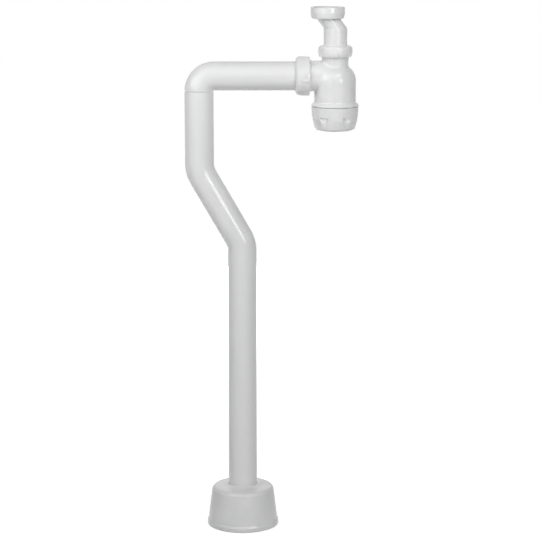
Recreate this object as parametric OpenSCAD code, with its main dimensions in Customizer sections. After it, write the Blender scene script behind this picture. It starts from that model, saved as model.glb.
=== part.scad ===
// Washbasin bottle trap with an S outlet: floor pipe with a double bend and a floor rosette.
// The origin is on the floor pipe's axis at floor level, +Z is up and +X runs towards the trap.

/* [Layout] */
// Height of the horizontal pipe's axis above the floor
outlet_height = 636; // [560:1:780]
// Height of the floor pipe's lower bend
lower_bend_height = 404; // [330:1:430]
// Height between the floor pipe's two bends
bend_rise = 101.5; // [80:0.5:120]
// Sideways run of the slanted stretch for each millimetre of its length. This value makes
// the cosine of the bends' angle nearly whole at six digits too, so the bends close exactly.
bend_slope = 0.499772; // [0.26:0.000001:0.64]
// Distance between the upper pipe's axis and the trap's axis
trap_reach = 186; // [170:1:320]

/* [Outlet pipe] */
// Outside diameter of the outlet pipe
pipe_d = 40; // [36:0.5:42]
// Wall of the outlet pipe
pipe_wall = 1.9; // [1.6:0.1:2.4]
// Radius of the floor pipe's bends at the axis
bend_r = 40; // [30:1:60]
// Radius of the tight elbow at the axis, beyond the pipe's own radius
elbow_extra_r = 0.6; // [0.4:0.1:6]
// Length of the elbow's spigot inside the floor pipe
spigot_length = 24; // [15:1:40]
// Wall of the elbow's spigot
spigot_wall = 1.5; // [1.2:0.1:2]
// Length of the tapered lead on the pipe's end in the branch
lead_length = 4; // [2:0.5:8]
// Depth of the tapered lead
lead_depth = 0.8; // [0.4:0.1:1.2]
// Bevel that marks the seam between the elbow and the floor pipe
seam_bevel = 0.5; // [0.3:0.1:1]

/* [Rosette] */
// Outside diameter of the rosette at the floor
rosette_d = 100.6; // [90:0.2:120]
// Height of the rosette's collar above the floor
rosette_height = 59; // [48:0.5:75]
// Radius of the rosette's side wall at the foot
rosette_foot_r = 48.8; // [44:0.2:49.5]
// Radius of the rosette's side wall at the top
rosette_top_r = 43.2; // [38:0.2:46]
// Wall of the rosette
rosette_wall = 1.8; // [1.4:0.1:2.4]
// Height of the rosette's foot rim
rim_height = 5.6; // [3:0.2:8]
// Drop from the collar's lip to the rosette's top face
collar_rise = 4.4; // [2:0.2:7]

/* [Bottle] */
// Outside diameter of the bottle
bottle_d = 57; // [54:0.5:66]
// Wall of the bottle
bottle_wall = 2.2; // [1.8:0.1:3]
// Height of the bottle's domed shoulder, up to the neck
shoulder_height = 19; // [14:0.5:21]
// Height of the shoulder's lower edge below the outlet axis
shoulder_drop = 6; // [4:0.5:10]
// Height of the neck's mouth above the outlet axis
neck_rise = 38.6; // [36:0.2:60]
// Wall of the neck below its thread
neck_wall = 1.8; // [1.5:0.05:3]
// Rim round the neck's seal seat, out to the top of its thread
neck_rim = 0.85; // [0.6:0.05:1.6]
// Length of the neck's thread
neck_thread_length = 11.6; // [8:0.2:14]
// Height of the low collars beside the threads over the neck and the branch
collar_step = 0.4; // [0.2:0.05:0.8]
// Length of these collars that shows past the nuts
collar_reach = 3.4; // [2:0.2:5]
// Distance from the outlet axis down to the seam between the body and the cup
cup_drop = 40.7; // [38:0.1:70]
// How far the skirt stands out from the bottle's side
skirt_step = 4.1; // [3:0.1:6]
// Height of the skirt above the seam
skirt_height = 1.5; // [1.2:0.1:6]
// How far the cup's thread stands out from the bottle's side
cup_thread_step = 0.9; // [0.6:0.1:1.5]
// Length of the cup's thread on the body
cup_thread_length = 9.4; // [7:0.2:14]

/* [Branch] */
// Wall of the branch beside the bottle
branch_wall = 3; // [2.2:0.1:4]
// Rim round the branch's seal seat, out to the top of its thread
branch_rim = 1.2; // [0.8:0.05:2]
// Length of the branch beyond the bottle's side
branch_length = 22.5; // [20:0.1:30]
// Depth of the pipe's socket in the branch
socket_depth = 16.4; // [12:0.2:20]

/* [Cup] */
// Height of the cup
cup_height = 32.4; // [29:0.2:60]
// How far the cup's side has come in where it turns inwards
cup_knee_step = 1.2; // [0.4:0.1:1.6]
// Drop from the seam to the turn in the cup's side
cup_knee_drop = 17.9; // [15:0.1:20]
// How far the cup's side has come in at its foot, before the rounding
cup_foot_step = 5.7; // [3:0.1:8]
// Thickness of the cup's floor
cup_floor = 2.4; // [1.8:0.1:4]
// Width of the cup's inner ledge, which carries the seal
cup_ledge_width = 4.4; // [3.6:0.1:6]
// Drop from the seam to the ledges of the finger grips
grip_drop = 14.4; // [12:0.2:18]
// Number of finger grips round the cup
grip_count = 6; // [3:1:8]
// Radius of one scooped finger grip
grip_r = 8; // [5:0.2:10]
// Depth of a finger grip under its ledge
grip_depth = 3.4; // [1.5:0.1:4]
// Lean of a finger grip from upright
grip_lean = 10.4; // [4:0.2:14]

/* [Inlet] */
// Outside diameter of the inlet tube
tube_d = 32; // [30:0.5:32.5]
// Wall of the inlet tube
tube_wall = 1.7; // [1.3:0.1:2.2]
// Sideways step of the inlet tube
tube_step = 10.6; // [0:0.2:12]
// Height of the tube's slanted stretch
tube_step_height = 14.4; // [12:0.1:30]
// Height of the slanted stretch's lower end above the outlet axis
tube_step_rise = 64.9; // [60:0.1:110]
// How far the union nut reaches down past the head of the slanted stretch
nut_lap = 1.6; // [0:0.1:2]
// Gap between the tube's lower end and the cup's floor
dip_gap = 7.4; // [6:0.2:12]
// Thickness of the tube's flange
flange_height = 2.4; // [1.6:0.1:3]

/* [Nuts] */
// Wall of the inlet's compression nut outside its thread
neck_nut_wall = 2.95; // [2.2:0.05:5]
// Height of the inlet's compression nut
neck_nut_height = 15.6; // [14:0.2:20]
// Wall of the outlet's compression nut outside its thread
branch_nut_wall = 2.2; // [2:0.05:5]
// Length of the outlet's compression nut
branch_nut_length = 19.6; // [17:0.2:24]
// Wall of the union nut outside its thread
union_nut_wall = 4.1; // [3.6:0.1:8]
// Height of the union nut
union_nut_height = 16; // [13:0.2:22]
// Bore of the union nut, the minor diameter of its G 1 1/4 thread
union_bore_d = 38.95; // [38.8:0.05:40]
// Depth of the union nut's thread
union_thread_depth = 1.1; // [0.8:0.1:1.5]
// Thickness of the nuts' end plates
nut_plate = 2; // [1.5:0.1:3]
// Radius of the rounding from the neck nut's side to its plate
neck_nut_round = 5; // [2:0.2:5.4]
// Radius of the rounding from the branch nut's side to its plate
branch_nut_round = 6; // [2:0.2:6.4]
// Number of grip ribs round a compression nut
rib_count = 6; // [4:1:12]
// Width of a grip rib
rib_width = 3.6; // [2:0.2:5]
// Height of a grip rib over the nut's side
rib_height = 0.4; // [0.2:0.1:1]

/* [Seals] */
// Thickness of the rubber washer in the union nut
washer_height = 2.5; // [1.5:0.1:4]
// Length of a conical seal
seal_length = 4.2; // [3:0.1:5]
// Width of a conical seal at its wide end
seal_width = 2.7; // [2:0.1:3]
// Thickness of a slip ring
slip_height = 1.2; // [0.8:0.1:2]
// Thickness of the flat cup seal
cup_seal_height = 2; // [1.5:0.1:3]

/* [Fits] */
// Radial clearance of a pipe in its bore
slide_gap = 0.25; // [0.1:0.05:0.4]
// Radial clearance between threads
thread_gap = 0.3; // [0.2:0.05:0.4]
// Radial clearance of the spigot in the floor pipe
spigot_gap = 0.1; // [0.05:0.05:0.3]
// Radial clearance of a conical seal on its pipe, before it is squeezed
seal_gap = 0.1; // [0.05:0.05:0.2]
// Radial clearance round a conical seal at the mouth of its seat
seat_gap = 0.3; // [0.2:0.05:0.6]
// Radial clearance of the inlet tube's flange in the union nut
flange_gap = 0.4; // [0.2:0.05:0.8]
// Open seam between the skirt and the cup
seam_gap = 0.7; // [0.4:0.1:1.5]

/* [Hidden] */
$fn = 96;

// Bevel at the ends of the threaded walls
thread_bevel = 0.8;
// How far the flat seals keep back from the edges beside them
seal_inset = 0.2;
// Share of the slanted stretch's height by which it reaches into the upright ones
tube_lap = 0.05;
// How much thinner the slanted stretch's wall is on each side than the upright ones'
slant_inset = 0.15;
// Sides of the inlet tube's slanted loft
tube_sides = 40;

bend_angle = asin(bend_slope);
pipe_r = pipe_d / 2;
pipe_bore_r = pipe_r - pipe_wall;
tube_r = tube_d / 2;
tube_bore_r = tube_r - tube_wall;
elbow_r = pipe_r + elbow_extra_r;
upper_pipe_x = -bend_rise * tan(bend_angle);
trap_x = upper_pipe_x + trap_reach;
joint_height = outlet_height - elbow_r;

seam_height = outlet_height - cup_drop;
neck_mouth = outlet_height + neck_rise;
cup_rim = seam_height - seam_gap;
cup_bottom = cup_rim - cup_height;
cup_well_floor = cup_bottom + cup_floor;
body_end = seam_height - cup_thread_length;
cup_ledge = body_end - cup_seal_height;
knee_height = seam_height - cup_knee_drop;
grip_height = seam_height - grip_drop;

tube_hole_r = tube_r + slide_gap;
pipe_hole_r = pipe_r + slide_gap;
neck_seat_r = tube_hole_r + seal_width + seat_gap;
branch_seat_r = pipe_hole_r + seal_width + seat_gap;
neck_thread_r = neck_seat_r + neck_rim;
branch_thread_r = branch_seat_r + branch_rim;

bottle_r = bottle_d / 2;
bottle_bore_r = bottle_r - bottle_wall;
neck_r = tube_hole_r + neck_wall;
dome_r = (pow(bottle_r - neck_r, 2) + pow(shoulder_height, 2)) / (bottle_r - neck_r) / 2;
branch_reach = bottle_r + branch_length;
skirt_r = bottle_r + skirt_step;
cup_thread_r = bottle_r + cup_thread_step;
cup_knee_r = skirt_r - cup_knee_step;
cup_well_r = cup_thread_r - cup_ledge_width;

tube_step_foot = outlet_height + tube_step_rise;
tube_step_head = tube_step_foot + tube_step_height;
union_x = trap_x - tube_step;
union_foot = tube_step_head - nut_lap;
union_bore_r = union_bore_d / 2;
union_hole_r = tube_hole_r + nut_lap * tube_step / tube_step_height;
flange_foot = union_foot + nut_plate + slide_gap;
tube_top = flange_foot + flange_height;

neck_nut_foot = neck_mouth + slip_height + slide_gap + nut_plate - neck_nut_height;
branch_nut_end = branch_reach + slip_height + slide_gap + nut_plate;

// Direction from a to b, of length one
function unit(a, b) = (b - a) / norm(b - a);

// Points of a rounded corner at b between a and c, or b itself where r is zero
function corner(a, b, c, r) = r <= 0 ? [b] :
    let (u = unit(b, a), v = unit(b, c), half = acos(u * v) / 2,
        centre = b + (u + v) / norm(u + v) * r / sin(half),
        first = b + u * r / tan(half) - centre,
        last = b + v * r / tan(half) - centre,
        start = atan2(first.y, first.x),
        turn = atan2(first.x * last.y - first.y * last.x, first * last),
        steps = max(2, ceil(abs(turn) / 11)))
    [for (i = [0 : steps]) centre + r * [cos(start + turn * i / steps),
        sin(start + turn * i / steps)]];

// Closed outline from points [x, y, corner radius]
function outline(p) = [for (i = [0 : len(p) - 1])
    let (n = len(p), before = p[(i + n - 1) % n], after = p[(i + 1) % n])
    each corner([before.x, before.y], [p[i].x, p[i].y], [after.x, after.y], p[i].z)];

// Solid of revolution round Z of an outline given as [radius, height, corner radius]
module turned(points) {
    rotate_extrude() polygon(outline(points));
}

// Flat ring round Z, from radius inner to outer
module ring(inner, outer, height) {
    rotate_extrude() translate([inner, 0]) square([outer - inner, height]);
}

// Cross-section of the outlet pipe
module pipe_section() {
    difference() {
        circle(pipe_r);
        circle(pipe_bore_r);
    }
}

// Straight stretch of the outlet pipe along Z, with what follows it at its end
module straight(length) {
    linear_extrude(length) pipe_section();
    translate([0, 0, length]) children();
}

// Bend of the outlet pipe from Z towards +X, or towards -X where the angle is negative,
// with what follows it at its end. It is the wedge of a round ring between the plane in
// which the bend starts and the plane in which the next stretch does.
module bend(angle, r) {
    side = sign(angle);
    reach = r + pipe_d;
    block = [2 * reach, 2 * pipe_d, reach];
    translate([side * r, 0, 0]) {
        intersection() {
            rotate([90, 0, 0]) rotate_extrude() translate([r, 0]) pipe_section();
            translate([-reach, -pipe_d, 0]) cube(block);
            rotate([0, angle, 0]) translate([-reach, -pipe_d, -reach]) cube(block);
        }
        rotate([0, angle, 0]) translate([-side * r, 0, 0]) children();
    }
}

// Cut round a pipe that starts at the origin and runs up: its end gets a taper of the
// given length and depth. The cut runs a quarter past the taper both ways.
module end_taper(length, depth) {
    past = 0.25;
    turned([
        [pipe_r - depth * (1 + past), -length * past, 0],
        [pipe_r + depth + 1, -length * past, 0],
        [pipe_r + depth + 1, length * (1 + past), 0],
        [pipe_r + depth * past, length * (1 + past), 0]]);
}

module floor_pipe() {
    slant = bend_rise / cos(bend_angle);
    tangent = bend_r * tan(bend_angle / 2);
    upper_length = joint_height - lower_bend_height - bend_rise - tangent;
    color("white") difference() {
        straight(lower_bend_height - tangent)
            bend(-bend_angle, bend_r)
            straight(slant - 2 * tangent)
            bend(bend_angle, bend_r)
            straight(upper_length);
        translate([upper_pipe_x, 0, joint_height]) mirror([0, 0, 1])
            end_taper(seam_bevel, seam_bevel);
    }
}

module elbow_pipe() {
    spigot_r = pipe_bore_r - spigot_gap;
    run = trap_reach - elbow_r - branch_reach + socket_depth;
    color("white") translate([upper_pipe_x, 0, joint_height]) {
        difference() {
            bend(90, elbow_r) straight(run);
            translate([elbow_r + run, 0, elbow_r]) rotate([0, -90, 0])
                end_taper(lead_length, lead_depth);
        }
        translate([0, 0, -spigot_length])
            ring(spigot_r - spigot_wall, spigot_r, spigot_length + 0.5);
        ring(spigot_r - spigot_wall, pipe_bore_r + 0.4, 1.6);
    }
}

module floor_rosette() {
    top = rosette_height - collar_rise;
    hole = pipe_hole_r;
    w = rosette_wall;
    color("white") turned([
        [rosette_d / 2 - 0.4, 0, 0],
        [rosette_d / 2, 0.6, 0],
        [rosette_d / 2, rim_height, 0.8],
        [rosette_foot_r, rim_height + 3, 1.5],
        [rosette_top_r, top, 5],
        [hole + w + 3, top - 0.4, 3.6],
        [hole + w - 0.6, rosette_height - 0.8, 0],
        [hole + w - 1.2, rosette_height, 0],
        [hole, rosette_height, 0],
        [hole, top - w - 4, 0],
        [hole + w, top - w - 4, 0],
        [hole + w, top - w - 1, 2],
        [rosette_top_r - w, top - w, 3.4],
        [rosette_foot_r - w, rim_height + 3, 1.5],
        [rosette_d / 2 - w, rim_height - 1, 0],
        [rosette_d / 2 - w, 0, 0]]);
}

// Outline points of the bottle's domed shoulder, from the neck's radius inner out and down
// to the bottle's side. The outside and the inside are arcs of radius r round one centre.
function shoulder(r, inner) =
    let (middle = bottle_r - dome_r, foot = outlet_height - shoulder_drop,
        top = acos((inner - middle) / r), steps = 6)
    [for (i = [0 : steps]) let (a = top * (1 - i / steps))
        [middle + r * cos(a), foot + r * sin(a), i == 0 ? 0.8 : 0]];

// Outside of the bottle with its neck, skirt and threads, solid
module bottle_outside() {
    thread_foot = neck_mouth - neck_thread_length;
    collar_foot = neck_nut_foot - collar_reach;
    turned([
        [0, neck_mouth, 0],
        [neck_thread_r - thread_bevel, neck_mouth, 0],
        [neck_thread_r, neck_mouth - thread_bevel, 0],
        [neck_thread_r, thread_foot, 0],
        [neck_r + collar_step, thread_foot - thread_bevel, 0],
        [neck_r + collar_step, collar_foot + collar_step, 0],
        [neck_r, collar_foot, 0],
        each shoulder(dome_r, neck_r),
        [bottle_r, seam_height + skirt_height + 4.5, 3],
        [skirt_r, seam_height + skirt_height, 1.2],
        [skirt_r, seam_height, 0.4],
        [cup_thread_r, seam_height, 0],
        [cup_thread_r, body_end + thread_bevel, 0],
        [cup_thread_r - thread_bevel, body_end, 0],
        [0, body_end, 0]]);
}

// Inside of the bottle with the neck's bore and its conical seal seat
module bottle_inside() {
    turned([
        [0, neck_mouth + 1, 0],
        [neck_seat_r, neck_mouth + 1, 0],
        [neck_seat_r, neck_mouth, 0],
        [tube_hole_r, neck_mouth - seal_length, 0],
        each shoulder(dome_r - bottle_wall, tube_hole_r),
        [bottle_bore_r, body_end - 1, 0],
        [0, body_end - 1, 0]]);
}

// Moves a shape made along Z to the branch, with Z running from the trap's axis to the mouth
module on_branch() {
    translate([trap_x, 0, outlet_height]) rotate([0, -90, 0]) children();
}

// Moves a shape made round Z to the trap's axis, at its real height
module on_trap() {
    translate([trap_x, 0, 0]) children();
}

// Outside of the branch with its thread, solid, along Z. It starts inside the neck's bore.
module branch_outside() {
    start = tube_hole_r / 2;
    branch_r = pipe_bore_r + branch_wall;
    nut_start = branch_nut_end - branch_nut_length;
    thread_start = nut_start + 1.4;
    turned([
        [0, start, 0],
        [branch_r, start, 0],
        [branch_r, nut_start - collar_reach, 0],
        [branch_r + collar_step, nut_start - collar_reach + collar_step, 0],
        [branch_r + collar_step, thread_start, 0],
        [branch_thread_r, thread_start + 1.2, 0],
        [branch_thread_r, branch_reach - thread_bevel, 0],
        [branch_thread_r - thread_bevel, branch_reach, 0],
        [0, branch_reach, 0]]);
}

// Bores of the branch: water way as wide as the pipe's bore, pipe socket and conical seal
// seat, along Z. The water way starts inside the neck's wall.
module branch_inside() {
    start = tube_hole_r + neck_wall / 3;
    turned([
        [0, start, 0],
        [pipe_bore_r, start, 0],
        [pipe_bore_r, branch_reach - socket_depth, 0],
        [pipe_hole_r, branch_reach - socket_depth, 0],
        [pipe_hole_r, branch_reach - seal_length, 0],
        [branch_seat_r, branch_reach, 0],
        [branch_seat_r, branch_reach + 1, 0],
        [0, branch_reach + 1, 0]]);
}

module trap_body() {
    color("white") difference() {
        union() {
            on_trap() bottle_outside();
            on_branch() branch_outside();
        }
        on_trap() bottle_inside();
        on_branch() branch_inside();
    }
}

// One scooped finger grip: a leaning round cut under a flat ledge
module finger_grip() {
    reach = cup_knee_r - grip_depth + grip_r;
    depth = cup_height;
    translate([reach, 0, grip_height]) intersection() {
        rotate([0, -grip_lean, 0]) translate([0, 0, -depth])
            cylinder(r = grip_r, h = depth + grip_r);
        translate([-2 * grip_r, -2 * grip_r, -depth]) cube([4 * grip_r, 4 * grip_r, depth]);
    }
}

module cleaning_cup() {
    thread_bore = cup_thread_r + thread_gap;
    foot_r = skirt_r - cup_foot_step;
    foot_ring = 8;
    foot_rise = 0.6;
    well_taper = 1.8;
    color("white") on_trap() difference() {
        turned([
            [0, cup_bottom + foot_rise, 0],
            [foot_r - foot_ring, cup_bottom + foot_rise, 0],
            [foot_r - foot_ring - foot_rise, cup_bottom, 0],
            [foot_r, cup_bottom, 5],
            [cup_knee_r, knee_height, 6],
            [skirt_r - 0.2, cup_rim, 0.6],
            [thread_bore + thread_bevel, cup_rim, 0],
            [thread_bore, cup_rim - thread_bevel, 0],
            [thread_bore, cup_ledge, 0],
            [cup_well_r, cup_ledge, 0.6],
            [cup_well_r - well_taper, cup_well_floor, 4],
            [0, cup_well_floor, 0]]);
        for (i = [0 : grip_count - 1])
            rotate([0, 0, 360 * (i + 0.5) / grip_count - 90]) finger_grip();
    }
}

module cup_seal() {
    color("dimgray") on_trap() translate([0, 0, cup_ledge])
        ring(cup_well_r + seal_inset, cup_thread_r - seal_inset, cup_seal_height);
}

// Grip ribs on a nut that stands on its open end at the origin
module nut_ribs(outer_r, inner_r, length) {
    for (i = [0 : rib_count - 1]) rotate([0, 0, 360 * i / rib_count])
        translate([inner_r, -rib_width / 2, 0.4])
            cube([outer_r + rib_height - inner_r, rib_width, length]);
}

// Compression nut that stands on its open end at the origin. Its bore narrows to the
// slip ring's width at the plate, which keeps the wall whole under the rounding.
module compression_nut(wall, length, thread_r, hole_r, round_r) {
    bore = thread_r + thread_gap;
    outer_r = bore + wall;
    lip = wall * 0.4;
    plate_r = hole_r + seal_width + slide_gap;
    plate = length - nut_plate;
    turned([
        [bore + lip, 0, 0],
        [outer_r - lip / 2, 2.4, 2.4],
        [outer_r, 5.4, 4],
        [outer_r, length, round_r],
        [hole_r, length, 0.4],
        [hole_r, plate, 0],
        [plate_r, plate, 0],
        [bore, plate - (bore - plate_r), 0],
        [bore, thread_bevel, 0],
        [bore + thread_bevel, 0, 0]]);
    nut_ribs(outer_r, bore + lip, length * 0.5);
}

// Plain hard ring between a nut's plate and its seal, standing on the origin
module slip_ring(hole_r) {
    ring(hole_r, hole_r + seal_width, slip_height);
}

// Conical seal, wide end up at the origin
module taper_seal(bore_r) {
    turned([
        [bore_r, -seal_length + 0.6, 0],
        [bore_r + 0.35, -seal_length + 0.6, 0],
        [bore_r + seal_width, -0.1, 0],
        [bore_r + seal_width, 0, 0],
        [bore_r, 0, 0]]);
}

module inlet_compression_nut() {
    color("white") on_trap() translate([0, 0, neck_nut_foot]) rotate([0, 0, -90])
        compression_nut(neck_nut_wall, neck_nut_height, neck_thread_r, tube_hole_r,
            neck_nut_round);
}

module inlet_slip_ring() {
    color("gainsboro") on_trap() translate([0, 0, neck_mouth]) slip_ring(tube_hole_r);
}

module inlet_taper_seal() {
    color("dimgray") on_trap() translate([0, 0, neck_mouth]) taper_seal(tube_r + seal_gap);
}

module outlet_compression_nut() {
    color("white") on_branch() translate([0, 0, branch_nut_end - branch_nut_length])
        rotate([0, 0, -40])
        compression_nut(branch_nut_wall, branch_nut_length, branch_thread_r, pipe_hole_r,
            branch_nut_round);
}

module outlet_slip_ring() {
    color("gainsboro") on_branch() translate([0, 0, branch_reach]) slip_ring(pipe_hole_r);
}

module outlet_taper_seal() {
    color("dimgray") on_branch() translate([0, 0, branch_reach])
        taper_seal(pipe_r + seal_gap);
}

// Slanted stretch of the inlet tube: a loft through level circles that step sideways.
// It starts and ends a little way inside the upright stretches, so that they join.
module slanted_tube(r) {
    shares = [-tube_lap, 0, 1, 1 + tube_lap];
    n = tube_sides;
    last = len(shares) - 1;
    polyhedron(
        points = [for (t = shares) for (i = [0 : n - 1])
            [r * cos(360 * i / n) - tube_step * min(max(t, 0), 1), r * sin(360 * i / n),
                tube_step_height * t]],
        faces = [[for (i = [0 : n - 1]) i], [for (i = [n - 1 : -1 : 0]) last * n + i],
            for (k = [0 : last - 1]) for (i = [0 : n - 1])
                let (j = (i + 1) % n)
                [k * n + i, (k + 1) * n + i, (k + 1) * n + j, k * n + j]]);
}

// Solid run of the inlet tube from its dip end to its top and beyond both by extra. The
// upright stretches have radius r, and the slanted one has radius slant_r.
module tube_run(r, slant_r, extra) {
    dip_end = cup_well_floor + dip_gap - extra;
    on_trap() translate([0, 0, dip_end]) cylinder(r = r, h = tube_step_foot - dip_end);
    on_trap() translate([0, 0, tube_step_foot]) slanted_tube(slant_r);
    translate([union_x, 0, tube_step_head])
        cylinder(r = r, h = tube_top - tube_step_head + extra);
}

module inlet_tube() {
    color("white") difference() {
        union() {
            tube_run(tube_r, tube_r - slant_inset, 0);
            translate([union_x, 0, flange_foot])
                cylinder(r = union_bore_r - flange_gap, h = flange_height);
        }
        tube_run(tube_bore_r, tube_bore_r + slant_inset, 1);
    }
}

module inlet_washer() {
    color("dimgray") translate([union_x, 0, tube_top])
        ring(tube_bore_r + seal_inset, union_bore_r - slide_gap, washer_height);
}

// Union nut. Its hole clears the tube where the nut laps over the slanted stretch. Its
// thread starts above the washer, and the relief under it is as wide as its grooves.
module inlet_union_nut() {
    outer_r = union_bore_r + union_nut_wall;
    relief_r = union_bore_r + union_thread_depth;
    relief_top = tube_top + washer_height + 0.2 - union_foot;
    mouth_bevel = 1.4;
    color("white") translate([union_x, 0, union_foot]) turned([
        [union_hole_r, 0, 0],
        [outer_r - 2, 0, 3],
        [outer_r, union_nut_height * 0.5, 8],
        [outer_r - 0.3, union_nut_height, 0.8],
        [union_bore_r + mouth_bevel, union_nut_height, 0],
        [union_bore_r, union_nut_height - mouth_bevel, 0],
        [union_bore_r, relief_top + union_thread_depth / 2, 0],
        [relief_r, relief_top, 0],
        [relief_r, nut_plate, 0],
        [union_hole_r, nut_plate, 0]]);
}

inlet_union_nut();
inlet_washer();
inlet_tube();
inlet_compression_nut();
inlet_slip_ring();
inlet_taper_seal();
trap_body();
cleaning_cup();
cup_seal();
outlet_compression_nut();
outlet_slip_ring();
outlet_taper_seal();
elbow_pipe();
floor_pipe();
floor_rosette();
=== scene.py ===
"""Looks of a washbasin trap with its floor pipe and rosette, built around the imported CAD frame."""
import math

import bmesh
import bpy
import numpy as np
from mathutils import Matrix, Vector


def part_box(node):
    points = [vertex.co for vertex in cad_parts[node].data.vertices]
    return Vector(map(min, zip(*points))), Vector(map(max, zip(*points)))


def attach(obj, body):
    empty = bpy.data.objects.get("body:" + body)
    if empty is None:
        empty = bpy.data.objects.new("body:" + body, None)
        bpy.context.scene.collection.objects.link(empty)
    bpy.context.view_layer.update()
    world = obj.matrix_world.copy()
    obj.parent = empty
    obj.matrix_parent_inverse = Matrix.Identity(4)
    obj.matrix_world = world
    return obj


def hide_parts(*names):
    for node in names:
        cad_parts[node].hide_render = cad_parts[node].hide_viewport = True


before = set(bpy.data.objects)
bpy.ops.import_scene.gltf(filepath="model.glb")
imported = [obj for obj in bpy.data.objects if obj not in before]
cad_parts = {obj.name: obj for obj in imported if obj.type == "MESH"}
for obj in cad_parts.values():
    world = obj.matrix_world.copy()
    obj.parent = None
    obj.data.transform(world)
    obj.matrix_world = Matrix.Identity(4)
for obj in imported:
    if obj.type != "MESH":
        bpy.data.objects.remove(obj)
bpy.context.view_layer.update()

# Shapes are worked out in millimetres, with the same sizes and heights as the CAD solids
MM = 0.001
SHARP_ANGLE = math.radians(38)
OUTLET_Z = 636
TUBE_R, TUBE_BORE_R, TUBE_HOLE_R = 16, 14.3, 16.25
PIPE_R, PIPE_BORE_R, PIPE_HOLE_R = 20, 18.1, 20.25

# Bevel at the ends of threads, smallest corner radius, and how far a cutter runs past an open end
CHAMFER, CRISP, PAST = 0.8, 0.15, 1

# Widths of a thread's groove as shares of its pitch, its cutter's overhang, and its least share of depth
GROOVE_MOUTH, GROOVE_ROOT, PROUD, LEAST_DEPTH = 0.86, 0.3, 0.3, 0.05

# Bottle and neck
BOTTLE_R, BOTTLE_WALL = 28.5, 2.2
DOME_FOOT, DOME_HEIGHT, DOME_STEPS = 630, 19, 16
NECK_R, NECK_MOUTH, NECK_COLLAR, COLLAR_STEP = 18.05, 674.6, 659.05, 0.4
NECK_FILLET_RISE, NECK_FILLET_WIDTH = 2.2, 0.9
NECK_THREAD_R, NECK_THREAD_FOOT = 20.1, 663
NECK_THREAD_DEPTH, NECK_PITCH, NECK_RUN_OUT = 0.45, 2.5, 1
NECK_SEAT_R, SEAL_LENGTH = 19.25, 4.2
SEAM_Z, BODY_END = 595.3, 585.9
SKIRT_R, SKIRT_RISE, SKIRT_SIDE = 32.6, 6, 1.5

# Branch, measured outwards from the bottle's middle
BRANCH_R, BRANCH_START, BRANCH_REACH = 21.1, 8, 51
BRANCH_COLLAR, BRANCH_BORE_START, SOCKET_START, BRANCH_SEAT_R = 31.45, 17, 34.6, 23.25
BRANCH_THREAD_R, BRANCH_THREAD_START, BRANCH_THREAD_RISE = 24.45, 36.25, 1.2
BRANCH_THREAD_DEPTH, BRANCH_PITCH, BRANCH_RUN_OUT = 0.7, 3, 2.5
BLEND = 2.6

# Cleaning cup
CUP_RIM, CUP_LEDGE, CUP_WELL, CUP_BOTTOM, CUP_RECESS = 594.6, 583.9, 564.6, 562.2, 0.6
CUP_THREAD_R, CUP_THREAD_DEPTH, CUP_PITCH, CUP_RUN_OUT, CUP_CLEARANCE = 29.4, 0.6, 3, 1.6, 0.3
CUP_WELL_R, CUP_WELL_SLOPE, CUP_FOOT_R, CUP_FOOT_WIDTH, CUP_SET_BACK = 25, 1.8, 26.9, 8, 0.2
KNEE_R, KNEE_Z = 31.4, 577.4
GRIPS, GRIP_Z, GRIP_R, GRIP_REACH, GRIP_LEAN = 6, 580.9, 8, 36, math.radians(10.4)
GRIP_EDGE, GRIP_LEDGE, GRIP_LEVEL_STEP = 2, 0.36, 0.7

# Nuts
NUT_PLATE, NUT_LIP, NUT_LIP_HEIGHT, NUT_SIDE_FOOT = 2, 0.4, 2.4, 5.4
NUT_THREAD_DEPTH, NUT_RUN_OUT = 0.55, 3.5
RIBS, RIB_WIDTH, RIB_HEIGHT, RIB_START = 6, 3.6, 0.4, 0.4
RIB_SLOPE, RIB_RISE, RIB_FALL = 0.7, 0.5, 1.2
INLET_NUT_FOOT, OUTLET_NUT_START, OUTLET_NUT_TURN = 662.45, 34.85, math.radians(-40)
UNION_FOOT, UNION_HEIGHT, UNION_R, UNION_FOOT_SLOPE, UNION_TAPER = 713.7, 16, 23.575, 2, 0.3
UNION_BORE_R, UNION_HOLE_R, UNION_BEVEL = 19.475, 17.428, 1.4
UNION_ROOT_R, UNION_PITCH, UNION_RUN_IN = 20.95, 2.309, 0.4
RELIEF_R, RELIEF_TOP, RELIEF_SLOPE = 20.575, 7.35, 0.55

# Inlet tube
STEP, STEP_FOOT, STEP_HEIGHT, STEP_CORNER = 10.6, 700.9, 14.4, 0.06
DIP_END, DIP_LEAD, DIP_BEVEL = 572, 0.4, 0.3
FLANGE_R, FLANGE_FOOT, TUBE_TOP = 19.075, 715.95, 718.35

# Elbow pipe
ELBOW_R, LEVEL_RUN, LEAD_LENGTH, LEAD_DEPTH = 20.6, 130.8, 4, 0.8
JOINT_Z = OUTLET_Z - ELBOW_R
SPIGOT_LENGTH, SPIGOT_R, SPIGOT_BORE_R, SPIGOT_SEAT, SPIGOT_BEVEL = 24, 18, 16.5, 1.6, 0.3
SEAM_GAP, SEAM_DEPTH = 0.8, 1.8

# Floor pipe
LOWER_BEND, BEND_RISE, BEND_R, BEND_SLOPE = 404, 101.5, 40, 0.499772
BEND_ANGLE = math.asin(BEND_SLOPE)

# Floor rosette
ROSETTE_R, ROSETTE_FOOT_R, ROSETTE_TOP_R = 50.3, 48.8, 43.2
ROSETTE_HEIGHT, ROSETTE_TOP, ROSETTE_WALL = 59, 54.6, 1.8
ROSETTE_RIM, ROSETTE_RIM_SLOPE, ROSETTE_RIM_BEVEL, ROSETTE_SLEEVE = 5.6, 3, 0.4, 4
CONE_FOOT, CONE_RISE, CONE_WIDTH = 0.1, 1.9, 6.8
COLLAR_WIDTH, COLLAR_BEVEL = 0.9, 0.4


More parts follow.
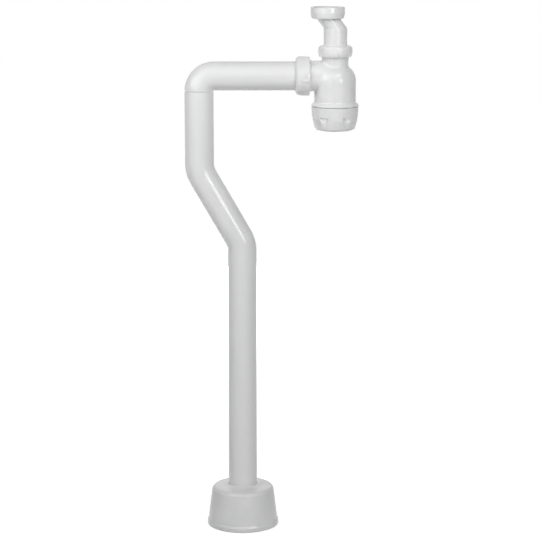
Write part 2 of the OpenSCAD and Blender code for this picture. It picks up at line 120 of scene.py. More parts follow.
def middle(node, axis):
    """Middle of a CAD node's box along an axis, in millimetres."""
    low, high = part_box(node)
    return (low[axis] + high[axis]) / 2 / MM


TRAP_X = middle("cup_seal", 0)
UNION_X = middle("inlet_washer", 0)
FOOT_X = middle("floor_rosette", 0)
UPPER_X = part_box("elbow_pipe")[0][0] / MM + PIPE_R


def rounded(points, step=5):
    """Closed outline from points (x, y, corner radius), with an arc at each rounded corner."""
    outline = []
    for i, (x, y, radius) in enumerate(points):
        here = np.array((x, y), float)
        if radius <= 0:
            outline.append(here)
            continue
        back = np.array(points[i - 1][:2]) - here
        ahead = np.array(points[(i + 1) % len(points)][:2]) - here
        back /= np.linalg.norm(back)
        ahead /= np.linalg.norm(ahead)
        half = math.acos(np.clip(back @ ahead, -1, 1)) / 2
        across = back + ahead
        centre = here + across / np.linalg.norm(across) * radius / math.sin(half)
        first = here + back * radius / math.tan(half) - centre
        last = here + ahead * radius / math.tan(half) - centre
        start = math.atan2(first[1], first[0])
        turn = math.atan2(first[0] * last[1] - first[1] * last[0], first @ last)
        steps = max(2, math.ceil(abs(math.degrees(turn)) / step))
        for k in range(steps + 1):
            angle = start + turn * k / steps
            outline.append(centre + radius * np.array((math.cos(angle), math.sin(angle))))
    return [tuple(point) for point in outline]


def levelled(outline, levels, apart=0.02):
    """The outline with extra points where its sides cross the given levels, away from their ends."""
    result = []
    for (r0, z0), (r1, z1) in zip(outline, outline[1:] + outline[:1]):
        result.append((r0, z0))
        between = [z for z in levels if min(z0, z1) + apart < z < max(z0, z1) - apart]
        for z in sorted(between, reverse=bool(z1 < z0)):
            result.append((r0 + (r1 - r0) * (z - z0) / (z1 - z0), z))
    return result


def closed_mesh(vertices, faces):
    """Mesh of a closed solid with its faces turned outwards."""
    mesh = bpy.data.meshes.new("solid")
    mesh.from_pydata([tuple(map(float, vertex)) for vertex in vertices], [], faces)
    work = bmesh.new()
    work.from_mesh(mesh)
    bmesh.ops.recalc_face_normals(work, faces=work.faces)
    work.to_mesh(mesh)
    work.free()
    return mesh


def revolve(outline, segments=256, shape=None, sway=None):
    """Solid of a closed outline of (radius, height) turned round Z.

    shape(r, z, angles) gives the radii at a point of the outline, and sway(z) moves a level along X.
    """
    angles = np.arange(segments) * 2 * math.pi / segments
    vertices, rows = [], []
    for r, z in outline:
        shift = sway(z) if sway else 0
        if r < 1e-6:
            rows.append([len(vertices)] * segments)
            vertices.append((shift, 0, z))
            continue
        radii = shape(r, z, angles) if shape else np.full(segments, r)
        rows.append(list(range(len(vertices), len(vertices) + segments)))
        vertices.extend(zip(shift + radii * np.cos(angles), radii * np.sin(angles), [z] * segments))
    faces = []
    for row, after in zip(rows, rows[1:] + rows[:1]):
        for i in range(segments):
            j = (i + 1) % segments
            face = list(dict.fromkeys((row[i], row[j], after[j], after[i])))
            if len(face) > 2:
                faces.append(face)
    return closed_mesh(vertices, faces)


def thread(crest_r, depth, pitch, start, end, steps=96):
    """Right-hand helical groove cutter round Z, for a groove of the given depth under the crest.

    A negative depth cuts outwards, for an inside thread. The depth grows and fades over a third of a
    turn at both ends.
    """
    proud = math.copysign(PROUD, depth)
    mouth_r = crest_r + proud
    wide, narrow = pitch * GROOVE_MOUTH / 2, pitch * GROOVE_ROOT / 2
    count = int((end - start) / pitch * steps)
    vertices, faces = [], []
    for k in range(count + 1):
        share = min(1, k * 3 / steps, (count - k) * 3 / steps)
        root_r = mouth_r - (depth + proud) * max(share, LEAST_DEPTH)
        z = start + pitch * k / steps
        angle = 2 * math.pi * k / steps
        for r, rise in ((mouth_r, -wide), (mouth_r, wide), (root_r, narrow), (root_r, -narrow)):
            vertices.append((r * math.cos(angle), r * math.sin(angle), z + rise))
    for k in range(count):
        for i in range(4):
            j = (i + 1) % 4
            faces.append((4 * k + i, 4 * k + j, 4 * k + 4 + j, 4 * k + 4 + i))
    faces.append((0, 1, 2, 3))
    faces.append(tuple(4 * count + i for i in (3, 2, 1, 0)))
    return closed_mesh(vertices, faces)


def combined(base, *changes):
    """Mesh of a closed solid after joins ("UNION", mesh) and cuts ("DIFFERENCE", mesh)."""
    for operation, tool in changes:
        pair = [bpy.data.objects.new("work", mesh) for mesh in (base, tool)]
        for item in pair:
            bpy.context.scene.collection.objects.link(item)
        change = pair[0].modifiers.new("change", "BOOLEAN")
        change.solver = "MANIFOLD"
        change.operation = operation
        change.object = pair[1]
        bpy.context.view_layer.update()
        result = pair[0].evaluated_get(bpy.context.evaluated_depsgraph_get())
        base = bpy.data.meshes.new_from_object(result)
        for item in pair:
            bpy.data.objects.remove(item)
    return base


def moved(mesh, x=0, z=0, turn=None):
    """The mesh after a turn and a move."""
    mesh.transform(Matrix.Translation((x, 0, z)) @ (turn or Matrix.Identity(4)))
    return mesh


def piece(name, mesh, node, material):
    """Visible piece in metres that stands for a CAD node."""
    mesh.transform(Matrix.Scale(MM, 4))
    mesh.shade_smooth()
    mesh.set_sharp_from_angle(angle=SHARP_ANGLE)
    mesh.materials.clear()
    mesh.materials.append(material)
    obj = bpy.data.objects.new(name, mesh)
    bpy.context.scene.collection.objects.link(obj)
    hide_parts(node)
    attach(obj, "root")


def soft_min(a, b, width):
    """Smaller of two values, rounded where they are closer than width."""
    near = np.clip(width - np.abs(a - b), 0, None) / width
    return np.minimum(a, b) - near * near * width / 4


def smooth_step(value):
    """0 up to -0.5, 1 from 0.5 on, and a smooth rise between."""
    value = np.clip(value + 0.5, 0, 1)
    return value * value * (3 - 2 * value)


def folded(angles, count):
    """Angle from the nearest of count evenly spaced directions, the first of them along X."""
    pitch = 2 * math.pi / count
    return (angles + pitch / 2) % pitch - pitch / 2


# Trap body


def dome(offset, inner):
    """Outline points of the bottle's shoulder moved out by offset, from the radius inner to the side."""
    radius = ((BOTTLE_R - NECK_R) ** 2 + DOME_HEIGHT ** 2) / (BOTTLE_R - NECK_R) / 2
    centre = BOTTLE_R - radius
    radius += offset
    top = math.acos((inner - centre) / radius)
    angles = [top * (1 - i / DOME_STEPS) for i in range(DOME_STEPS + 1)]
    return [(centre + radius * math.cos(a), DOME_FOOT + radius * math.sin(a), 0) for a in angles]


def bottle_outline():
    """Outside of the bottle with its neck, skirt and plain threads."""
    collar_r = NECK_R + COLLAR_STEP
    return rounded([
        (0, NECK_MOUTH, 0), (NECK_THREAD_R - CHAMFER, NECK_MOUTH, 0),
        (NECK_THREAD_R, NECK_MOUTH - CHAMFER, 0), (NECK_THREAD_R, NECK_THREAD_FOOT, 0),
        (collar_r, NECK_THREAD_FOOT - CHAMFER, 0), (collar_r, NECK_COLLAR + COLLAR_STEP, CRISP),
        (NECK_R, NECK_COLLAR, CRISP), (NECK_R, DOME_FOOT + DOME_HEIGHT + NECK_FILLET_RISE, 2),
        *dome(0, NECK_R + NECK_FILLET_WIDTH), (BOTTLE_R, SEAM_Z + SKIRT_RISE, 3),
        (SKIRT_R, SEAM_Z + SKIRT_SIDE, 1.2), (SKIRT_R, SEAM_Z, 0.4),
        (CUP_THREAD_R, SEAM_Z, 0), (CUP_THREAD_R, BODY_END + CHAMFER, 0),
        (CUP_THREAD_R - CHAMFER, BODY_END, 0), (0, BODY_END, 0)])


def bottle_distance(r, z):
    """Signed distance from the bottle's outside above its skirt, at points (r, z)."""
    lowest = SEAM_Z + SKIRT_RISE - 1
    side = np.array([point for point in bottle_outline() if point[1] > lowest and point[0] > 0])
    first, along = side[:-1], side[1:] - side[:-1]
    points = np.stack((r, z), -1)[..., None, :]
    share = np.clip(((points - first) * along).sum(-1) / (along * along).sum(-1), 0, 1)
    gaps = np.linalg.norm(points - first - share[..., None] * along, axis=-1).min(-1)
    inside = r < np.interp(z, side[::-1, 1], side[::-1, 0])
    return np.where(inside, -gaps, gaps)


def branch_flare():
    """Solid round the branch that fills the corner between it and the bottle with a soft blend.

    On the bottle it ends a hair under the surface, so that it joins without a step.
    """
    rows, segments, halvings = 64, 160, 22
    hair, narrowest, widest = 0.04, BRANCH_R - 0.01, BRANCH_R + 9
    start, end = BRANCH_START, BRANCH_COLLAR + PAST
    s = np.linspace(start, end, rows)[:, None]
    a = (np.arange(segments) * 2 * math.pi / segments)[None, :]
    low = np.full((rows, segments), narrowest)
    high = np.full((rows, segments), widest)
    for _ in range(halvings):
        r = (low + high) / 2
        from_bottle = bottle_distance(np.hypot(s, r * np.sin(a)), OUTLET_Z + r * np.cos(a)) + hair
        inside = soft_min(from_bottle, r - BRANCH_R, BLEND) < 0
        low, high = np.where(inside, r, low), np.where(inside, high, r)
    vertices = [(-start, 0, OUTLET_Z), (-end, 0, OUTLET_Z)]
    for row in range(rows):
        for r, angle in zip(low[row], a[0]):
            vertices.append((-s[row, 0], r * math.sin(angle), OUTLET_Z + r * math.cos(angle)))
    faces = []
    for i in range(segments):
        j = (i + 1) % segments
        for row in range(rows - 1):
            base = 2 + row * segments
            faces.append((base + i, base + j, base + segments + j, base + segments + i))
        last = 2 + (rows - 1) * segments
        faces += [(0, 2 + j, 2 + i), (1, last + i, last + j)]
    return closed_mesh(vertices, faces)


def branch_outside():
    """Branch with its collar and plain thread, upright."""
    collar_r = BRANCH_R + COLLAR_STEP
    return revolve(rounded([
        (0, BRANCH_START, 0), (BRANCH_R, BRANCH_START, 0), (BRANCH_R, BRANCH_COLLAR, CRISP),
        (collar_r, BRANCH_COLLAR + COLLAR_STEP, CRISP), (collar_r, BRANCH_THREAD_START, 0),
        (BRANCH_THREAD_R, BRANCH_THREAD_START + BRANCH_THREAD_RISE, 0),
        (BRANCH_THREAD_R, BRANCH_REACH - CHAMFER, 0), (BRANCH_THREAD_R - CHAMFER, BRANCH_REACH, 0),
        (0, BRANCH_REACH, 0)]))


def branch_inside():
    """Cutter for the branch's bore, the pipe's socket and the seal's seat, upright."""
    return revolve([
        (0, BRANCH_BORE_START), (PIPE_BORE_R, BRANCH_BORE_START), (PIPE_BORE_R, SOCKET_START),
        (PIPE_HOLE_R, SOCKET_START), (PIPE_HOLE_R, BRANCH_REACH - SEAL_LENGTH),
        (BRANCH_SEAT_R, BRANCH_REACH), (BRANCH_SEAT_R, BRANCH_REACH + PAST), (0, BRANCH_REACH + PAST)])


def bottle_inside():
    """Cutter for the bottle's inside, the tube's hole and the seal's seat."""
    return revolve(rounded([
        (0, NECK_MOUTH + PAST, 0), (NECK_SEAT_R, NECK_MOUTH + PAST, 0), (NECK_SEAT_R, NECK_MOUTH, 0),
        (TUBE_HOLE_R, NECK_MOUTH - SEAL_LENGTH, 0), *dome(-BOTTLE_WALL, TUBE_HOLE_R),
        (BOTTLE_R - BOTTLE_WALL, BODY_END - PAST, 0), (0, BODY_END - PAST, 0)]))


def trap_body():
    """Bottle with its neck, domed shoulder, skirt, blended branch, bores and three outside threads."""
    to_branch = Matrix.Translation((0, 0, OUTLET_Z)) @ Matrix.Rotation(-math.pi / 2, 4, "Y")
    neck_thread = thread(
        NECK_THREAD_R, NECK_THREAD_DEPTH, NECK_PITCH, NECK_THREAD_FOOT + NECK_RUN_OUT, NECK_MOUTH + PAST)
    cup_thread = thread(
        CUP_THREAD_R, CUP_THREAD_DEPTH, CUP_PITCH, BODY_END - PAST, SEAM_Z - CUP_RUN_OUT)
    branch_thread = thread(
        BRANCH_THREAD_R, BRANCH_THREAD_DEPTH, BRANCH_PITCH,
        BRANCH_THREAD_START + BRANCH_RUN_OUT, BRANCH_REACH + PAST)
    body = combined(
        revolve(bottle_outline()),
        ("UNION", moved(branch_outside(), turn=to_branch)),
        ("UNION", branch_flare()),
        ("DIFFERENCE", bottle_inside()),
        ("DIFFERENCE", moved(branch_inside(), turn=to_branch)),
        ("DIFFERENCE", neck_thread),
        ("DIFFERENCE", cup_thread),
        ("DIFFERENCE", moved(branch_thread, turn=to_branch)))
    return moved(body, TRAP_X)


# Cleaning cup


def scooped(r, z, angles):
    """Radii of the cup at a level, with its scooped finger grips."""
    depth = GRIP_Z - z
    centre = GRIP_REACH + max(depth, 0) * math.tan(GRIP_LEAN)
    away = folded(angles, GRIPS)
    room = GRIP_R ** 2 - (centre * np.sin(away)) ** 2
    scoop = np.where(room > 0, centre * np.cos(away) - np.sqrt(np.clip(room, 0, None)), r + GRIP_R)
    cut = soft_min(np.full_like(scoop, r), scoop, GRIP_EDGE)
    return r + (cut - r) * smooth_step(depth / GRIP_LEDGE)


def cleaning_cup():
    """Screw-on cup with soft-edged grips and an inside thread."""
    bore = CUP_THREAD_R + CUP_CLEARANCE
    recess_r, recess = CUP_FOOT_R - CUP_FOOT_WIDTH, CUP_BOTTOM + CUP_RECESS
    outline = rounded([
        (0, recess, 0), (recess_r, recess, 0.3), (recess_r - CUP_RECESS, CUP_BOTTOM, 0.3),
        (CUP_FOOT_R, CUP_BOTTOM, 5), (KNEE_R, KNEE_Z, 6), (SKIRT_R - CUP_SET_BACK, CUP_RIM, 0.6),
        (bore + CHAMFER, CUP_RIM, 0), (bore, CUP_RIM - CHAMFER, 0), (bore, CUP_LEDGE, 0),
        (CUP_WELL_R, CUP_LEDGE, 0.6), (CUP_WELL_R - CUP_WELL_SLOPE, CUP_WELL, 4), (0, CUP_WELL, 0)])
    levels = [
        *np.arange(CUP_BOTTOM + 1, GRIP_Z - 0.5, GRIP_LEVEL_STEP),
        *(GRIP_Z + GRIP_LEDGE * np.linspace(-0.5, 0.5, 9))]
    groove = thread(bore, -CUP_THREAD_DEPTH, CUP_PITCH, CUP_LEDGE + CUP_RUN_OUT, CUP_RIM + PAST)
    cup = revolve(levelled(outline, levels), 360, scooped)
    return moved(combined(cup, ("DIFFERENCE", groove)), TRAP_X)


# Nuts


def compression_nut(bore, wall, length, hole_r, plate_r, end_round, pitch):
    """Nut standing on its open end at the origin, with soft grip ribs and an inside thread."""
    outer_r, lip = bore + wall, wall * NUT_LIP
    plate = length - NUT_PLATE
    low, high = RIB_START, RIB_START + length / 2

    def ribbed(r, z, angles):
        """Radii at a level, with the ribs on the outside only."""
        if r < bore + lip - 0.05:
            return np.full_like(angles, r)
        from_middle = np.abs(outer_r * np.sin(folded(angles, RIBS)))
        across = smooth_step((RIB_WIDTH / 2 - from_middle) / RIB_SLOPE)
        along = smooth_step((z - low) / RIB_RISE) * smooth_step((high - z) / RIB_FALL)
        return r + max(outer_r + RIB_HEIGHT - r, 0) * across * along

    outline = rounded([
        (bore + lip, 0, 0), (outer_r - lip / 2, NUT_LIP_HEIGHT, 2.4), (outer_r, NUT_SIDE_FOOT, 4),
        (outer_r, length, end_round), (hole_r, length, 0.4), (hole_r, plate, 0), (plate_r, plate, 0),
        (bore, plate - (bore - plate_r), 0), (bore, CHAMFER, 0), (bore + CHAMFER, 0, 0)])
    rise, fall = RIB_RISE / 2, RIB_FALL / 2 + 0.1
    levels = [
        *np.linspace(low - rise, low + rise, 6), *np.arange(1, 5, 0.5),
        *np.linspace(high - fall, high + fall, 8)]
    groove = thread(bore, -NUT_THREAD_DEPTH, pitch, -PAST, plate - NUT_RUN_OUT)
    nut = revolve(levelled(outline, levels), 360, ribbed)
    return combined(nut, ("DIFFERENCE", groove))


def inlet_nut():
    """Compression nut of the inlet."""
    nut = compression_nut(
        bore=20.4, wall=2.95, length=15.6, hole_r=TUBE_HOLE_R, plate_r=19.2, end_round=5,
        pitch=NECK_PITCH)
    return moved(nut, TRAP_X, INLET_NUT_FOOT, Matrix.Rotation(-math.pi / 2, 4, "Z"))


def outlet_nut():
    """Compression nut of the outlet."""
    nut = compression_nut(
        bore=24.75, wall=2.2, length=19.6, hole_r=PIPE_HOLE_R, plate_r=23.2, end_round=6,
        pitch=BRANCH_PITCH)
    turn = Matrix.Rotation(-math.pi / 2, 4, "Y") @ Matrix.Translation((0, 0, OUTLET_NUT_START))
    return moved(nut, TRAP_X, OUTLET_Z, turn @ Matrix.Rotation(OUTLET_NUT_TURN, 4, "Z"))


def union_nut():
    """Round union nut with its parallel pipe thread, which starts above the washer."""
    nut = revolve(rounded([
        (UNION_HOLE_R, 0, 0), (UNION_R - UNION_FOOT_SLOPE, 0, 3), (UNION_R, UNION_HEIGHT / 2, 8),
        (UNION_R - UNION_TAPER, UNION_HEIGHT, 0.8), (UNION_BORE_R + UNION_BEVEL, UNION_HEIGHT, 0),
        (UNION_BORE_R, UNION_HEIGHT - UNION_BEVEL, 0), (UNION_BORE_R, RELIEF_TOP + RELIEF_SLOPE, 0),
        (RELIEF_R, RELIEF_TOP, 0), (RELIEF_R, NUT_PLATE, 0), (UNION_HOLE_R, NUT_PLATE, 0)]))
    groove = thread(
        UNION_BORE_R, UNION_BORE_R - UNION_ROOT_R, UNION_PITCH,
        RELIEF_TOP - UNION_RUN_IN, UNION_HEIGHT + PAST)
    return moved(combined(nut, ("DIFFERENCE", groove)), UNION_X, UNION_FOOT)


# Inlet tube


def tube_sway(z):
    """Sideways place of the inlet tube's middle at a height, with softly rounded corners."""
    share = (z - STEP_FOOT) / STEP_HEIGHT
    share = -soft_min(-share, 0, STEP_CORNER)
    return -STEP * soft_min(share, 1, STEP_CORNER)


def inlet_tube():
    """Tube with its flange, slanted stretch and dip leg, lofted through level circles."""
    outline = rounded([
        (TUBE_BORE_R + DIP_LEAD, DIP_END, 0), (TUBE_R - DIP_BEVEL, DIP_END, 0),
        (TUBE_R, DIP_END + DIP_BEVEL, 0), (TUBE_R, FLANGE_FOOT, 0.5),
        (FLANGE_R, FLANGE_FOOT, 0.4), (FLANGE_R, TUBE_TOP, 0.4),
        (TUBE_BORE_R, TUBE_TOP, 0.3), (TUBE_BORE_R, DIP_END + DIP_LEAD, 0)])
    margin, level_step = 2, 0.25
    levels = np.arange(STEP_FOOT - margin, STEP_FOOT + STEP_HEIGHT + margin, level_step)
    return moved(revolve(levelled(outline, levels), 160, sway=tube_sway), TRAP_X)


# Pipes


def route(x, z, stretches):
    """Function that gives the middle's place and lean at a way along stretches of (length, turn).

    The route starts upright at (x, z), and the lean is the angle from upright towards X.
    """
    def at(way):
        place_x, place_z, lean = x, z, 0
        for length, turn in stretches:
            part = min(way, length)
            way -= part
            if turn:
                radius, before = length / turn, lean
                lean += part / radius
                place_x += radius * (math.cos(before) - math.cos(lean))
                place_z += radius * (math.sin(lean) - math.sin(before))
            else:
                place_x += part * math.sin(lean)
                place_z += part * math.cos(lean)
        return place_x, place_z, lean
    return at


def swept(outline, at, segments=160):
    """Solid of a closed outline of (radius, way) carried along a route in the XZ plane."""
    angles = np.arange(segments) * 2 * math.pi / segments
    vertices, faces = [], []
    for r, way in outline:
        x, z, lean = at(way)
        across = r * np.cos(angles)
        vertices.extend(zip(x + across * math.cos(lean), r * np.sin(angles), z - across * math.sin(lean)))
    for row in range(len(outline)):
        start, after = row * segments, (row + 1) % len(outline) * segments
        for i in range(segments):
            j = (i + 1) % segments
            faces.append((start + i, start + j, after + j, after + i))
    return closed_mesh(vertices, faces)


def elbow_pipe():
    """Level pipe with its tight elbow and the reduced spigot, whose shoulder leaves a fine seam."""
    bend = ELBOW_R * math.pi / 2
    joint = SPIGOT_LENGTH
    end = joint + bend + LEVEL_RUN
    seam_r, seat = PIPE_R - SEAM_DEPTH, joint + SPIGOT_SEAT
    outline = rounded([
        (SPIGOT_BORE_R, 0, 0), (SPIGOT_R - SPIGOT_BEVEL, 0, 0), (SPIGOT_R, SPIGOT_BEVEL, 0),
        (SPIGOT_R, joint, 0), (seam_r, joint, 0), (seam_r, joint + SEAM_GAP, 0),
        (PIPE_R, joint + SEAM_GAP, CRISP), (PIPE_R, end - LEAD_LENGTH, 2), (PIPE_R - LEAD_DEPTH, end, 0.2),
        (PIPE_BORE_R, end, 0.2), (PIPE_BORE_R, seat, 0), (SPIGOT_BORE_R, seat, 0)])
    levels = joint + np.linspace(0, bend, 41)
    at = route(UPPER_X, JOINT_Z - joint, [(joint, 0), (bend, math.pi / 2), (LEVEL_RUN + 1, 0)])
    return swept(levelled(outline, levels), at)


def floor_pipe():
    """Upright pipe with its double bend."""
    tangent = BEND_R * math.tan(BEND_ANGLE / 2)
    bend = BEND_R * BEND_ANGLE
    slant = BEND_RISE / math.cos(BEND_ANGLE) - 2 * tangent
    lower, upper = LOWER_BEND - tangent, JOINT_Z - LOWER_BEND - BEND_RISE - tangent
    end = lower + bend + slant + bend + upper
    outline = rounded([
        (PIPE_BORE_R, 0, 0.2), (PIPE_R, 0, 0.3), (PIPE_R, end, 0.2), (PIPE_BORE_R, end, 0)])
    levels = [*(lower + np.linspace(0, bend, 25)), *(lower + bend + slant + np.linspace(0, bend, 25))]
    at = route(FOOT_X, 0, [(lower, 0), (bend, -BEND_ANGLE), (slant, 0), (bend, BEND_ANGLE), (upper, 0)])
    return swept(levelled(outline, levels), at)


def floor_rosette():
    """Cover with sloping sides, a shallow cone that flows into its collar, and a rim at the floor."""
    hole, wall = PIPE_HOLE_R, ROSETTE_WALL
    inner_top, collar_top = ROSETTE_TOP - wall, ROSETTE_HEIGHT - COLLAR_BEVEL
    side_foot, sleeve_end = ROSETTE_RIM + ROSETTE_RIM_SLOPE, inner_top - ROSETTE_SLEEVE
    rosette = revolve(rounded([
        (ROSETTE_R - ROSETTE_RIM_BEVEL, 0, 0), (ROSETTE_R, 0.6, 0), (ROSETTE_R, ROSETTE_RIM, 1.2),
        (ROSETTE_FOOT_R, side_foot, 2), (ROSETTE_TOP_R, ROSETTE_TOP + CONE_FOOT, 6),
        (hole + CONE_WIDTH, ROSETTE_TOP + CONE_RISE, 10),
        (hole + COLLAR_WIDTH, collar_top - COLLAR_BEVEL, 0.3),
        (hole + COLLAR_WIDTH - COLLAR_BEVEL, collar_top, 0), (hole, collar_top, 0),
        (hole, sleeve_end, 0), (hole + wall, sleeve_end, 0), (hole + wall, inner_top - 1, 2),
        (ROSETTE_TOP_R - wall, inner_top, 3.4), (ROSETTE_FOOT_R - wall, side_foot, 1.5),
        (ROSETTE_R - wall, ROSETTE_RIM - 1, 0), (ROSETTE_R - wall, 0, 0)]), 320)
    return moved(rosette, FOOT_X)


# Materials, with noise in features per metre and bumps in metres
CLOUDS, GLOSS_CLOUDS, FINE_GRAIN, COARSE_GRAIN = 35, 160, 900, 1600
FINE_BUMP, COARSE_BUMP = 0.000006, 0.00002
SPECULAR = 0.4
WHITE = (0.74, 0.745, 0.75), (0.80, 0.80, 0.80)


def noise(nodes, links, scale, stretch, detail):
    """Noise over the object's own coordinates, with features about 1 / scale metres wide."""
    place = nodes.new("ShaderNodeTexCoord")
    mapping = nodes.new("ShaderNodeMapping")
    mapping.inputs["Scale"].default_value = stretch
    texture = nodes.new("ShaderNodeTexNoise")
    texture.inputs["Scale"].default_value = scale
    texture.inputs["Detail"].default_value = detail
    links.new(place.outputs["Object"], mapping.inputs["Vector"])
    links.new(mapping.outputs["Vector"], texture.inputs["Vector"])
    return texture.outputs["Fac"]


def spread(nodes, links, value, low, high):
    """The value, which is mostly between 0.3 and 0.7, spread over low to high."""
    node = nodes.new("ShaderNodeMapRange")
    for name, number in (("From Min", 0.3), ("From Max", 0.7), ("To Min", low), ("To Max", high)):
        node.inputs[name].default_value = number
    links.new(value, node.inputs["Value"])
    return node.outputs["Result"]


def plastic(name, dark, light, rough, grain=FINE_GRAIN, bump=FINE_BUMP, stretch=(1, 1, 1)):
    """Moulded or extruded material: cloudy colour and gloss, and a fine uneven surface."""
    material = bpy.data.materials.new(name)
    material.use_nodes = True
    nodes, links = material.node_tree.nodes, material.node_tree.links
    shader = nodes["Principled BSDF"]
    mix = nodes.new("ShaderNodeMix")
    mix.data_type = "RGBA"
    mix.inputs["A"].default_value = (*dark, 1)
    mix.inputs["B"].default_value = (*light, 1)
    colour_clouds = noise(nodes, links, CLOUDS, stretch, 2)
    gloss_clouds = noise(nodes, links, GLOSS_CLOUDS, stretch, 4)
    links.new(spread(nodes, links, colour_clouds, 0, 1), mix.inputs["Factor"])
    links.new(mix.outputs["Result"], shader.inputs["Base Color"])
    links.new(spread(nodes, links, gloss_clouds, *rough), shader.inputs["Roughness"])
    shader.inputs["Specular IOR Level"].default_value = SPECULAR
    height = nodes.new("ShaderNodeBump")
    height.inputs["Distance"].default_value = bump
    links.new(noise(nodes, links, grain, stretch, 3), height.inputs["Height"])
    links.new(height.outputs["Normal"], shader.inputs["Normal"])
    return material


# Stage, in metres
CAMERA_PLACE, CAMERA_PITCH, CAMERA_LENS = (0.0385, -2.596, 0.871), math.radians(-11), 126.67
LAMP_AIM = (0.05, 0, 0.62)
LAMPS = (
    ("right", (1.023, -1.498, 0.869), 0.6, 9.5),
    ("left", (-0.843, -1.547, 0.869), 0.6, 3.9),
    ("middle_high", (0.05, -1.631, 1.411), 0.9, 2.8),
    ("near_right", (0.374, -0.694, 1.293), 0.45, 2.8),
    ("near_left", (-0.526, -0.537, 1.266), 0.45, 1.4),
    ("near_side", (-0.764, -0.47, 0.992), 0.45, 3.1),
    ("top_left", (-0.202, -0.692, 1.467), 0.45, 0.8),
)
BACK_PLACE, BACK_AIM, BACK_SIZE, BACK_POWER = (0.05, 1.9, 0.6), (0.05, 0, 0.5), 1.2, 26
FLOOR_HALF, FLOOR_DROP, FLOOR_COLOUR = 8, 0.0005, (0.8, 0.8, 0.8, 1)
NEAR_GLOW, NEAR_END, FAR_START = 0.6, 0.3, 1.2


def set_camera():
    """The photograph's camera: level across, pitched down, straight in front of the pipes' plane."""
    data = bpy.data.cameras.new("camera")
    data.sensor_width = 36
    data.lens = CAMERA_LENS
    data.clip_end = 50
    camera = bpy.data.objects.new("camera", data)
    camera.location = CAMERA_PLACE
    camera.rotation_euler = (math.pi / 2 + CAMERA_PITCH, 0, 0)
    bpy.context.scene.collection.objects.link(camera)
    bpy.context.scene.camera = camera


def softbox(name, place, aim, size, power, mirrored=True):
    """Square area lamp at a place, turned to a point, with or without its own reflections."""
    data = bpy.data.lights.new(name, "AREA")
    data.size = size
    data.energy = power
    lamp = bpy.data.objects.new(name, data)
    lamp.visible_glossy = mirrored
    lamp.location = place
    lamp.rotation_euler = (Vector(aim) - Vector(place)).to_track_quat("-Z", "Y").to_euler()
    bpy.context.scene.collection.objects.link(lamp)


def backdrop_ray(nodes, links):
    """1 for camera, glossy and transmission rays, 0 for the rays that light the object."""
    path = nodes.new("ShaderNodeLightPath")
    result = path.outputs["Is Camera Ray"]
    for name in ("Is Glossy Ray", "Is Transmission Ray"):
        either = nodes.new("ShaderNodeMath")
        either.operation = "MAXIMUM"
        links.new(result, either.inputs[0])
        links.new(path.outputs[name], either.inputs[1])
        result = either.outputs[0]
    return result


def set_world():
    """White where it is seen or mirrored, and no light on the object."""
    world = bpy.data.worlds.new("studio")
    world.use_nodes = True
    nodes, links = world.node_tree.nodes, world.node_tree.links
    background = nodes["Background"]
    background.inputs["Color"].default_value = (1, 1, 1, 1)
    links.new(backdrop_ray(nodes, links), background.inputs["Strength"])
    bpy.context.scene.world = world


def add_floor():
    """Plain pale floor that keeps the object's shadow and brightens to white further out."""
    mesh = bpy.data.meshes.new("floor")
    corners = [(x * FLOOR_HALF, y * FLOOR_HALF, 0) for x, y in ((-1, -1), (1, -1), (1, 1), (-1, 1))]
    mesh.from_pydata(corners, [], [(0, 1, 2, 3)])
    floor = bpy.data.objects.new("floor", mesh)
    floor.location.z = -FLOOR_DROP
    bpy.context.scene.collection.objects.link(floor)
    material = bpy.data.materials.new("floor")
    material.use_nodes = True
    nodes, links = material.node_tree.nodes, material.node_tree.links
    nodes.remove(nodes["Principled BSDF"])
    diffuse = nodes.new("ShaderNodeBsdfDiffuse")
    diffuse.inputs["Color"].default_value = FLOOR_COLOUR
    glow = nodes.new("ShaderNodeEmission")
    place = nodes.new("ShaderNodeTexCoord")
    distance = nodes.new("ShaderNodeVectorMath")
    distance.operation = "LENGTH"
    links.new(place.outputs["Object"], distance.inputs[0])
    far = nodes.new("ShaderNodeMapRange")
    far.inputs["From Min"].default_value = NEAR_END
    far.inputs["From Max"].default_value = FAR_START
    far.inputs["To Min"].default_value = NEAR_GLOW
    far.inputs["To Max"].default_value = 1.0
    links.new(distance.outputs["Value"], far.inputs["Value"])
    scale = nodes.new("ShaderNodeMath")
    scale.operation = "MULTIPLY"
    links.new(far.outputs["Result"], scale.inputs[1])
    links.new(backdrop_ray(nodes, links), scale.inputs[0])
    links.new(scale.outputs[0], glow.inputs["Strength"])
    total = nodes.new("ShaderNodeAddShader")
    links.new(diffuse.outputs[0], total.inputs[0])
    links.new(glow.outputs[0], total.inputs[1])
    links.new(total.outputs[0], nodes["Material Output"].inputs["Surface"])
    mesh.materials.append(material)


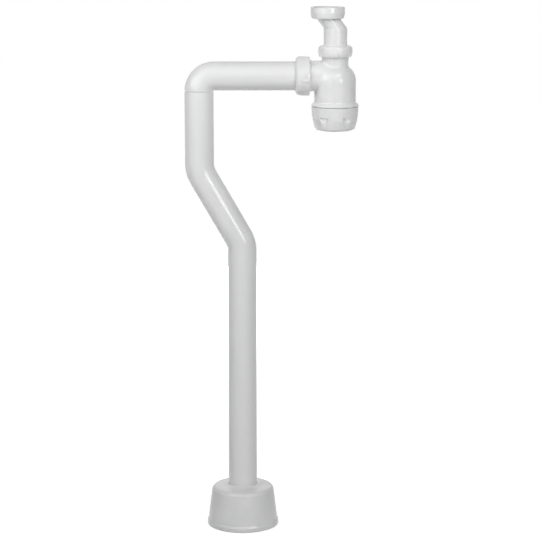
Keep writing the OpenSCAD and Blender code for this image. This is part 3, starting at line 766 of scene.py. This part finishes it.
set_camera()
set_world()
for name, place, size, power in LAMPS:
    softbox(name, place, LAMP_AIM, size, power)
softbox("back", BACK_PLACE, BACK_AIM, BACK_SIZE, BACK_POWER, mirrored=False)
add_floor()

trap_white = plastic("white_plastic", *WHITE, rough=(0.10, 0.16))
upright_white = plastic("upright_pipe_plastic", *WHITE, rough=(0.14, 0.20), stretch=(1, 1, 0.08))
level_white = plastic("level_pipe_plastic", *WHITE, rough=(0.14, 0.20), stretch=(0.08, 1, 1))
# The rosette's white is a little darker than the trap's white: painted shade for the dimmer light down at
# the floor
rosette_shaded_white = plastic("rosette_plastic", (0.72, 0.725, 0.73), (0.78, 0.78, 0.78), rough=(0.14, 0.20))
rubber = plastic(
    "seal_rubber", (0.015, 0.015, 0.016), (0.03, 0.03, 0.03), rough=(0.55, 0.75),
    grain=COARSE_GRAIN, bump=COARSE_BUMP)
ring_plastic = plastic("ring_plastic", (0.62, 0.62, 0.60), (0.70, 0.70, 0.68), rough=(0.45, 0.6))

# CAD nodes that aren't of the trap's white plastic
MATERIALS = {
    "inlet_washer": rubber,
    "inlet_taper_seal": rubber,
    "cup_seal": rubber,
    "outlet_taper_seal": rubber,
    "inlet_slip_ring": ring_plastic,
    "outlet_slip_ring": ring_plastic,
    "elbow_pipe": level_white,
    "floor_pipe": upright_white,
    "floor_rosette": rosette_shaded_white,
}
for name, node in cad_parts.items():
    node.data.materials.clear()
    node.data.materials.append(MATERIALS.get(name, trap_white))

# CAD nodes that a detailed piece stands for, with its function and its slot
for name, build, slot in (
        ("trap_body", trap_body, "trap_plastic"),
        ("cleaning_cup", cleaning_cup, "trap_plastic"),
        ("inlet_compression_nut", inlet_nut, "trap_plastic"),
        ("outlet_compression_nut", outlet_nut, "trap_plastic"),
        ("inlet_union_nut", union_nut, "trap_plastic"),
        ("inlet_tube", inlet_tube, "trap_plastic"),
        ("elbow_pipe", elbow_pipe, "pipe_plastic"),
        ("floor_pipe", floor_pipe, "pipe_plastic"),
        ("floor_rosette", floor_rosette, "rosette_plastic")):
    piece(name + "_moulding", build(), name, MATERIALS.get(name, trap_white))

bpy.context.scene.view_settings.view_transform = "Standard"
